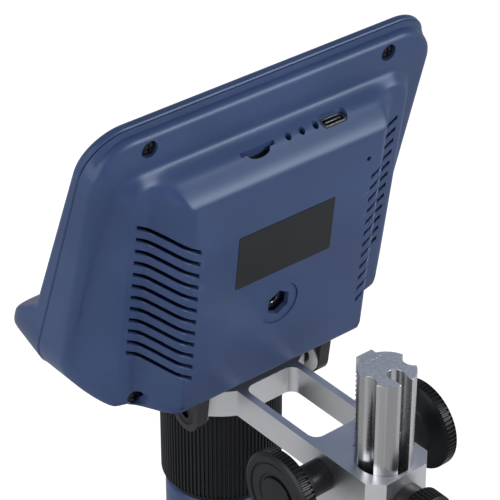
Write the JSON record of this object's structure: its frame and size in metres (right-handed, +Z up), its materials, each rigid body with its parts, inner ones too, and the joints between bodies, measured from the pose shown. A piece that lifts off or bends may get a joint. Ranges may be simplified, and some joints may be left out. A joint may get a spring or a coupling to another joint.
{
  "type": "lcd digital microscope",
  "caption": "Digital microscope with a tilting colour display, a ring-lit lens barrel and a rack-and-pinion arm on a column and flat base.",
  "frame": {"origin": "middle of the footprint, on the surface that the feet stand on", "axes": "+Z up along the column and the optical axis, +Y from the screen side to the column, +X to the right of someone who looks at the screen"},
  "size_m": [0.12, 0.18, 0.2446],
  "materials": {
    "base_metal": "fine textured powder coat",
    "mat_rubber": "matt",
    "foot_rubber": "matt",
    "polished_aluminium": "drawn and polished",
    "rack_steel": "machined",
    "satin_aluminium": "satin anodised",
    "spring_steel": "plated",
    "black_metal": "black anodised",
    "screw_steel": "zinc plated",
    "brass": "machined",
    "nylon": "natural",
    "black_plastic": "satin",
    "blue_plastic": "satin blue paint",
    "circuit_board": "solder mask",
    "chip_black": "moulded epoxy",
    "led_white": "phosphor",
    "diffuser": "frosted",
    "lens_glass": "coated",
    "cover_glass": "tinted",
    "lcd_dark": "switched off",
    "port_metal": "plated",
    "label_black": "bare film",
    "button_grey": "moulded"
  },
  "bodies": {
    "stand": {"base_plate": "base_metal", "work_mat": "mat_rubber", "rubber_feet": "foot_rubber", "column": "polished_aluminium", "rack": "rack_steel", "column_screws": "screw_steel", "clip_posts": "black_metal"},
    "clip_left": {"clip_left": "spring_steel"},
    "clip_right": {"clip_right": "spring_steel"},
    "carriage": {"arm": "satin_aluminium", "shaft_bushes": "black_plastic", "lock_bush": "black_metal", "lock_pad": "nylon", "barrel_sleeve": "black_plastic", "sleeve_screws": "screw_steel", "barrel_cap": "black_plastic", "sensor_board": "circuit_board", "image_sensor": "chip_black", "lens_hood": "blue_plastic", "led_board": "circuit_board", "leds": "led_white", "led_diffuser": "diffuser", "hinge_pins": "black_metal", "hinge_washers": "nylon"},
    "focus_drive": {"pinion_shaft": "rack_steel", "pinion": "rack_steel", "knob_left": "black_plastic", "knob_right": "black_plastic", "knob_caps": "black_plastic"},
    "lock_screw": {"lock_knob": "black_plastic", "lock_stud": "screw_steel"},
    "focus_ring": {"focus_ring": "black_plastic"},
    "lens": {"lens_carrier": "black_metal", "objective_lens": "lens_glass", "lens_retainer": "brass", "guide_pins": "screw_steel"},
    "display": {"rear_shell": "blue_plastic", "front_bezel": "blue_plastic", "screen_cover": "cover_glass", "lcd_panel": "lcd_dark", "main_board": "circuit_board", "board_screws": "screw_steel", "processor": "chip_black", "usb_port": "port_metal", "card_socket": "port_metal", "case_screws": "screw_steel", "label_plate": "label_black", "rear_nut": "screw_steel", "hinge_ear_left": "black_metal", "hinge_ear_right": "black_metal", "ear_screws": "screw_steel", "button_board": "circuit_board", "key_switches": "chip_black"},
    "button_1": {"button_1": "button_grey"},
    "button_2": {"button_2": "button_grey"},
    "button_3": {"button_3": "button_grey"},
    "button_4": {"button_4": "button_grey"},
    "button_5": {"button_5": "button_grey"},
    "button_6": {"button_6": "button_grey"}
  },
  "joints": [
    {"name": "height", "type": "slide", "parent": "stand", "child": "carriage", "axis": [0, 0, 1], "range_m": [-0.045, 0.025]},
    {"name": "focus_knob", "type": "hinge", "parent": "carriage", "child": "focus_drive", "pos_m": [0, 0.0501, 0.1406], "axis": [1, 0, 0], "range_deg": [-409.5, 737]},
    {"name": "lock_turn", "type": "hinge", "parent": "carriage", "child": "lock_screw", "pos_m": [0, 0.0753, 0.1396], "axis": [0, 1, 0], "range_deg": [0, 270]},
    {"name": "lens_focus", "type": "hinge", "parent": "carriage", "child": "focus_ring", "pos_m": [0, -0.007, 0.118], "axis": [0, 0, 1], "range_deg": [-135, 135]},
    {"name": "lens_slide", "type": "slide", "parent": "carriage", "child": "lens", "axis": [0, 0, 1], "range_m": [-0.002, 0.002]},
    {"name": "screen_tilt", "type": "hinge", "parent": "carriage", "child": "display", "pos_m": [0, 0.0069, 0.1424], "axis": [1, 0, 0], "range_deg": [-10, 10]},
    {"name": "clip_turn_left", "type": "hinge", "parent": "stand", "child": "clip_left", "pos_m": [-0.05, 0.019, 0.0167], "axis": [0, 0, 1], "range_deg": [-15, 45]},
    {"name": "clip_turn_right", "type": "hinge", "parent": "stand", "child": "clip_right", "pos_m": [0.05, 0.019, 0.0167], "axis": [0, 0, 1], "range_deg": [-45, 15]},
    {"name": "press_1", "type": "slide", "parent": "display", "child": "button_1", "axis": [0, 0.5215, -0.8533], "range_m": [0, 0.0008], "stiffness_N_per_m": 300},
    {"name": "press_2", "type": "slide", "parent": "display", "child": "button_2", "axis": [0, 0.5215, -0.8533], "range_m": [0, 0.0008], "stiffness_N_per_m": 300},
    {"name": "press_3", "type": "slide", "parent": "display", "child": "button_3", "axis": [0, 0.5215, -0.8533], "range_m": [0, 0.0008], "stiffness_N_per_m": 300},
    {"name": "press_4", "type": "slide", "parent": "display", "child": "button_4", "axis": [0, 0.5215, -0.8533], "range_m": [0, 0.0008], "stiffness_N_per_m": 300},
    {"name": "press_5", "type": "slide", "parent": "display", "child": "button_5", "axis": [0, 0.5215, -0.8533], "range_m": [0, 0.0008], "stiffness_N_per_m": 300},
    {"name": "press_6", "type": "slide", "parent": "display", "child": "button_6", "axis": [0, 0.5215, -0.8533], "range_m": [0, 0.0008], "stiffness_N_per_m": 300}
  ],
  "couplings": [
    {"joint": "focus_knob", "follows": "height", "rad_per_m": -285.71},
    {"joint": "lens_focus", "follows": "lens_slide", "rad_per_m": 1178}
  ]
}
